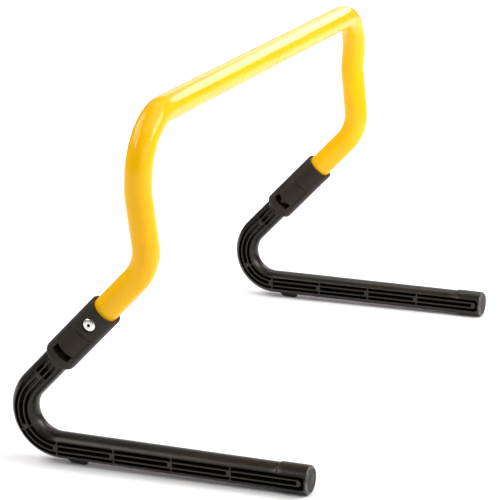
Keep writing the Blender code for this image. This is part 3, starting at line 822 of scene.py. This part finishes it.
def make_housing(name, matrix):
    """Lower half of the sleeve, with a window and a slot on both sides."""
    window = asin(WINDOW_HALF / SLEEVE_RADIUS)
    slot = asin(SLOT_HALF / SLEEVE_RADIUS)
    edges = [sign * half + turn for turn in (0.0, pi) for half in (window, slot)
             for sign in (-1, 1)]
    round_height = 3.4 * MM
    round_depth = 2.1 * MM
    top_bevel = 0.7 * MM
    bevel_slope = 0.8
    level_step = 2.5 * MM

    def outer(level):
        radius = SLEEVE_RADIUS
        rise = (level - HOUSING_BOTTOM) / round_height
        if rise < 1.0:
            radius -= round_depth * (1 - sqrt(max(0.0, 1 - (1 - rise) ** 2)))
        radius -= max(0.0, level - (SEAM - top_bevel)) * bevel_slope
        return radius

    def inner(level):
        return JOURNAL_BORE if level < JOURNAL_TOP + MM / 100 else SLEEVE_BORE

    def solid(angle, level):
        off = side_of(angle)
        in_window = off < window and level > WINDOW_BOTTOM
        in_slot = off < slot and level > SLOT_BOTTOM
        return not (in_window or in_slot)

    arc = [HOUSING_BOTTOM + round_height * (1 - cos(pi / 2 * step / 9)) for step in range(10)]
    levels = spread(arc + [SLOT_BOTTOM, JOURNAL_TOP, JOURNAL_TOP + MM / 20, WINDOW_BOTTOM,
                           SEAM - top_bevel, SEAM], level_step)
    bm, _ = curved_wall(turn_lines(edges, TURN_STEP), levels, outer, inner, solid,
                        inner_turn=straight_in)
    bmesh.ops.remove_doubles(bm, verts=bm.verts, dist=1e-7)
    neck = SKIRT_BORE - 0.15 * MM
    neck_foot = SEAM - MM / 20
    neck_top = SKIRT_TOP - 0.2 * MM
    join(bm, lathe([(SLEEVE_BORE, neck_foot), (neck, neck_foot), (neck, neck_top),
                    (SLEEVE_BORE, neck_top)], 64, ring=True))
    add_piece(name + "_housing_shell", bm, "grey_plastic", "frame",
              [name + "_latch_housing"], matrix, edge_radius=0.22 * MM)


def make_collar(name, matrix):
    """Upper half of the sleeve, with the rivet's counterbore on the outer side."""
    block = 8.0 * MM
    patch = asin(block / SLEEVE_RADIUS)
    lip = 1.1 * MM
    gap = 0.4 * MM
    low = SEAM + gap
    foot_slope = 0.5
    flare_slope = 0.75
    level_step = 2.0 * MM

    def outer(level):
        edge = max(0.0, level - (COLLAR_END - lip / 2))
        foot = max(0.0, low + lip / 3 - level)
        return SLEEVE_RADIUS - edge ** 2 / lip - foot_slope * foot

    def inner(level):
        if level < SKIRT_TOP + MM / 100:
            return SKIRT_BORE
        return SLEEVE_BORE + flare_slope * max(0.0, level - (COLLAR_END - lip))

    def solid(angle, level):
        off = (angle + pi) % (2 * pi) - pi
        return abs(off) > patch or abs(level - RIVET_LEVEL) > block

    levels = spread([low, low + lip / 3, SKIRT_TOP, SKIRT_TOP + MM / 20,
                     RIVET_LEVEL - block, RIVET_LEVEL + block,
                     COLLAR_END - lip, COLLAR_END - lip / 2, COLLAR_END - lip / 4,
                     COLLAR_END], level_step)
    angles = turn_lines([-patch, patch], TURN_STEP)
    bm, grids = curved_wall(angles, levels, outer, inner, solid)
    rim_faces = [face for face in bm.faces if is_patch_rim(face, patch, block)]
    bmesh.ops.delete(bm, geom=rim_faces, context="FACES_ONLY")
    signed = [(angle + pi) % (2 * pi) - pi for angle in angles]
    i_low, i_high = (nearest(signed, edge) for edge in (-patch, patch))
    j_low, j_high = (nearest(levels, RIVET_LEVEL + edge) for edge in (-block, block))
    count = len(angles)
    span = (i_high - i_low) % count
    border = [((i_low + i) % count, j_low) for i in range(span)]
    border += [(i_high, j) for j in range(j_low, j_high)]
    border += [((i_high - i) % count, j_high) for i in range(span)]
    border += [(i_low, j) for j in range(j_high, j_low, -1)]
    fill_counterbore(bm, [grids[0][key] for key in border], [grids[1][key] for key in border])
    add_piece(name + "_collar_shell", bm, "grey_plastic", "frame", [name + "_tube_collar"],
              matrix, edge_radius=0.18 * MM)


def nearest(values, target):
    """Index of the value nearest to the target."""
    return min(range(len(values)), key=lambda index: abs(values[index] - target))


def is_patch_rim(face, patch, block):
    """Whether a face is one of the flat walls round the patch left open for the rivet."""
    centre = face.calc_center_median()
    angle = atan2(centre.y, centre.x)
    off_level = abs(centre.z - RIVET_LEVEL)
    near = abs(angle) < patch + 1e-4 and off_level < block + 1e-6
    between = SLEEVE_BORE * 1.02 < hypot(centre.x, centre.y) < SLEEVE_RADIUS * 0.98
    return near and between


def fill_counterbore(bm, outer_border, inner_border):
    """Round hole with a flat seat, between matching borders of the two skins."""
    turns = [atan2(vert.co.z - RIVET_LEVEL, vert.co.y) for vert in outer_border]

    def on_skin(radius, skin_radius):
        return [(sqrt(skin_radius ** 2 - (radius * cos(a)) ** 2), radius * cos(a),
                 RIVET_LEVEL + radius * sin(a)) for a in turns]

    def flat(radius, depth):
        return [(depth, radius * cos(a), RIVET_LEVEL + radius * sin(a)) for a in turns]

    soft = 0.3 * MM
    rings = [on_skin(COUNTERBORE_RADIUS + 3 * soft, SLEEVE_RADIUS),
             on_skin(COUNTERBORE_RADIUS + soft, SLEEVE_RADIUS),
             on_skin(COUNTERBORE_RADIUS + soft / 3, SLEEVE_RADIUS - soft / 3),
             on_skin(COUNTERBORE_RADIUS, SLEEVE_RADIUS - soft),
             flat(COUNTERBORE_RADIUS, COUNTERBORE_FLOOR + soft / 10),
             flat(COUNTERBORE_RADIUS - soft / 2, COUNTERBORE_FLOOR),
             flat(SHANK_HOLE, COUNTERBORE_FLOOR),
             on_skin(SHANK_HOLE, SLEEVE_BORE)]
    loops = [outer_border]
    loops += [[bm.verts.new(place) for place in ring] for ring in rings]
    loops.append(inner_border)
    for near, far in zip(loops, loops[1:]):
        for index in range(len(near)):
            after = (index + 1) % len(near)
            bm.faces.new((near[index], near[after], far[after], far[index]))


def make_rivet(name, matrix):
    """Blind rivet: domed head with the mandrel's hole, shank and the bulb inside."""
    seat = COUNTERBORE_FLOOR + 0.05 * MM
    edge = seat + 0.3 * MM
    dome = seat + 1.95 * MM
    head = 5.35 * MM
    hole = 1.3 * MM
    hole_floor = seat - 1.5 * MM
    sweep = [radians(90.0) * step / 12 for step in range(13)]
    profile = [(0, hole_floor), (hole, hole_floor), (hole, dome - 0.35 * MM),
               (hole + 0.18 * MM, dome - 0.12 * MM)]
    flat = hole + 0.35 * MM
    profile += [(flat + (head - flat) * sin(a), edge + (dome - edge) * cos(a)) for a in sweep]
    shank = 2.4 * MM
    bulb = 3.6 * MM
    bulb_top = 8.9 * MM
    profile += [(head, seat), (shank, seat), (shank, bulb_top), (bulb, bulb_top - 0.3 * MM),
                (bulb, bulb_top - 1.2 * MM), (bulb * 0.7, bulb_top - 1.6 * MM),
                (0, bulb_top - 1.6 * MM)]
    bm = lathe(profile, 64)
    # painted shade: vertices inside the mandrel's hole take the near-black colour
    painted_hole_shade = bm.verts.layers.float.new("painted_hole_shade")
    for vert in bm.verts:
        in_hole = hypot(vert.co.x, vert.co.y) < hole * 1.01 and vert.co.z > hole_floor - MM
        vert[painted_hole_shade] = 1.0 if in_hole else 0.0
    add_piece(name + "_blind_rivet", along_x(bm, RIVET_LEVEL), "bright_metal",
              "frame", [name + "_tube_rivet"], matrix, sharp=50.0)


def make_thumb_pad(name, matrix, kind):
    """Pad that fills the window, with its yoke ring; the inner pad has a small tab."""
    half = asin((WINDOW_HALF - PAD_GAP) / SLEEVE_RADIUS)
    low = WINDOW_BOTTOM + PAD_GAP
    high = SEAM - PAD_GAP / 3
    top_bevel = 0.9 * MM
    bevel_slope = 0.55
    tab_length = 3.9 * MM
    tab_width = 1.7 * MM
    tab_power = 2.5
    level_step = 2.0 * MM

    def outer(level):
        return SLEEVE_RADIUS - bevel_slope * max(0.0, level - (high - top_bevel))

    def inner(level):
        return PAD_INNER_RADIUS

    def hang(angle, level):
        """The inner pad's lower edge dips into the slot."""
        if kind == "outer":
            return level
        dip = tab_length * exp(-abs(angle * SLEEVE_RADIUS / tab_width) ** tab_power)
        return level - dip * (high - level) / (high - low)

    levels = spread([low, high - top_bevel, high - top_bevel / 2, high], level_step)
    angles = spread([-half, half], radians(2.5))
    bm, _ = curved_wall(angles, levels, outer, inner, lambda angle, level: True,
                        closed=False, level_at=hang, inner_turn=straight_in)
    base = YOKE_LEVEL[kind]
    top = base + YOKE_THICKNESS
    ring = lathe([(YOKE_BORE, base), (YOKE_RADIUS, base), (YOKE_RADIUS, top),
                  (YOKE_BORE, top)], 64, ring=True)
    bmesh.ops.translate(ring, vec=(PRESS_TRAVEL, 0, 0), verts=ring.verts)
    join(bm, ring)
    inset = 0.4 * MM
    neck_half = 6.0 * MM
    neck = box((YOKE_RADIUS - inset, -neck_half, base + inset),
               (PAD_INNER_RADIUS + inset, neck_half, top - inset))
    join(bm, neck)
    if kind == "inner":
        bmesh.ops.rotate(bm, cent=(0, 0, 0), matrix=Matrix.Rotation(pi, 3, "Z"), verts=bm.verts)
    latch = f"{name}_{kind}_latch"
    add_piece(f"{name}_{kind}_thumb_pad", bm, "grey_plastic", latch, [latch], matrix,
              edge_radius=0.2 * MM)


def make_spring(name, matrix):
    """Coil spring across the sleeve in two halves, which the pads press towards each other."""
    half = 11.25 * MM
    wire = 0.45 * MM
    coil = 2.5 * MM
    turns = 8
    per_turn = 16
    wire_sides = 10
    closed_turns = 1
    end_pitch = 2.1 * wire
    open_turns = turns - 2 * closed_turns
    open_pitch = (2 * (half - wire) - 2 * closed_turns * end_pitch) / open_turns
    count = turns * per_turn
    line = []
    x = -half + wire
    for index in range(count + 1):
        angle = 2 * pi * index / per_turn
        line.append(Vector((x, coil * cos(angle), SPRING_LEVEL + coil * sin(angle))))
        turn = index / per_turn
        at_end = turn < closed_turns or turn >= turns - closed_turns
        x += (end_pitch if at_end else open_pitch) / per_turn
    rings = []
    for index, place in enumerate(line):
        along = (line[min(index + 1, count)] - line[max(index - 1, 0)]).normalized()
        outward = Vector((0.0, place.y, place.z - SPRING_LEVEL))
        outward = (outward - along * outward.dot(along)).normalized()
        across = along.cross(outward)
        rings.append([place + wire * (outward * cos(a) + across * sin(a))
                      for a in (2 * pi * step / wire_sides for step in range(wire_sides))])
    reach = half - 2 * end_pitch
    middle = count // 2
    for kind, part, way in (("inner", rings[:middle + 1], -1), ("outer", rings[middle:], 1)):
        bend = [matrix @ Vector((x, 0.0, SPRING_LEVEL)) for x in (0.0, way * reach)]
        add_piece(f"{name}_{kind}_spring_half", skin(part), "spring_steel",
                  f"{name}_{kind}_latch", [name + "_latch_spring"], matrix, sharp=50.0,
                  bend=bend)


# Studio

def make_floor():
    bm = bmesh.new()
    bmesh.ops.create_grid(bm, x_segments=1, y_segments=1, size=14.0)
    mesh = bpy.data.meshes.new("studio_floor")
    bm.to_mesh(mesh)
    bm.free()
    floor = bpy.data.objects.new("studio_floor", mesh)
    floor.location = (0.0, 0.0, -0.0002)
    bpy.context.scene.collection.objects.link(floor)
    made = bpy.data.materials.new("studio_floor_paper")
    made.use_nodes = True
    shader = made.node_tree.nodes["Principled BSDF"]
    shader.inputs["Base Color"].default_value = (0.97, 0.97, 0.97, 1.0)
    shader.inputs["Roughness"].default_value = 0.9
    mesh.materials.append(made)


def add_softbox(name, place, target, size, radiance, opening=180.0, colour=(1.0, 1.0, 1.0)):
    """Area light that shines from its place to the target, with its radiance in W/m2/sr."""
    lamp = bpy.data.lights.new(name, "AREA")
    lamp.spread = radians(opening)
    lamp.color = colour
    lamp.shape = "RECTANGLE"
    lamp.size, lamp.size_y = size
    lamp.energy = radiance * pi * size[0] * size[1]
    light = bpy.data.objects.new(name, lamp)
    light.location = place
    aim = Vector(target) - Vector(place)
    light.rotation_euler = aim.to_track_quat("-Z", "Y").to_euler()
    bpy.context.scene.collection.objects.link(light)


def make_lights():
    world = bpy.data.worlds.new("studio")
    world.use_nodes = True
    backdrop = world.node_tree.nodes["Background"]
    backdrop.inputs["Color"].default_value = (1.0, 1.0, 1.0, 1.0)
    backdrop.inputs["Strength"].default_value = 0.15
    bpy.context.scene.world = world
    corner = (-0.23, 0.0, 0.27)
    add_softbox("left_strip", (-1.46, 1.06, 1.77), corner, (0.38, 0.95), 8.6)
    add_softbox("rear_left_softbox", (-0.3, 2.0, 2.1), (0.0, 0.0, 0.1), (2.0, 1.4), 5.0)
    add_softbox("high_softbox", (0.2, -1.4, 2.6), (0.2, -1.4, 0.0), (3.4, 2.4), 1.5)
    add_softbox("right_softbox", (0.08, -0.85, 0.69), (-0.1, 0.0, 0.2), (0.6, 0.42), 8.6)
    add_softbox("front_softbox", (-1.2, -2.3, 0.95), corner, (3.2, 1.5), 1.4)
    add_softbox("far_softbox", (1.9, -0.35, 1.05), (0.0, 0.0, 0.28), (1.0, 0.55), 6.4,
                colour=(1.0, 0.74, 0.92))
    add_softbox("far_left_softbox", (1.75, 0.62, 0.85), (0.0, 0.0, 0.28), (1.2, 0.55), 1.7)
    add_softbox("floor_softbox", (1.9, 1.0, 2.3), (1.9, 1.0, 0.0), (2.0, 2.0), 1.8, 80.0)


def make_camera():
    """Camera at the front left, a little above the crossbar."""
    right = Vector((0.36796, -0.92973, -0.01457))
    up = Vector((0.26126, 0.08833, 0.96122))
    back = Vector((-0.89238, -0.35750, 0.27540))
    lens = bpy.data.cameras.new("studio_camera")
    lens.sensor_width = 36.0
    lens.lens = 161.7
    lens.clip_start = 0.05
    lens.clip_end = 50.0
    camera = bpy.data.objects.new("studio_camera", lens)
    turn = Matrix((right, up, back)).transposed().to_4x4()
    camera.matrix_world = Matrix.Translation((-1.78695, -0.69822, 0.67127)) @ turn
    bpy.context.scene.collection.objects.link(camera)
    bpy.context.scene.camera = camera


def main():
    axes = {name: side_axes(name) for name in SIDES}
    make_tube(axes)
    for name, matrix in axes.items():
        make_leg(name, matrix)
        make_rubber_pad(name)
        make_friction_ring(name, matrix)
        make_housing(name, matrix)
        make_collar(name, matrix)
        make_rivet(name, matrix)
        make_thumb_pad(name, matrix, "outer")
        make_thumb_pad(name, matrix, "inner")
        make_spring(name, matrix)
    make_floor()
    make_lights()
    make_camera()
    bpy.context.scene.view_settings.view_transform = "Standard"


main()
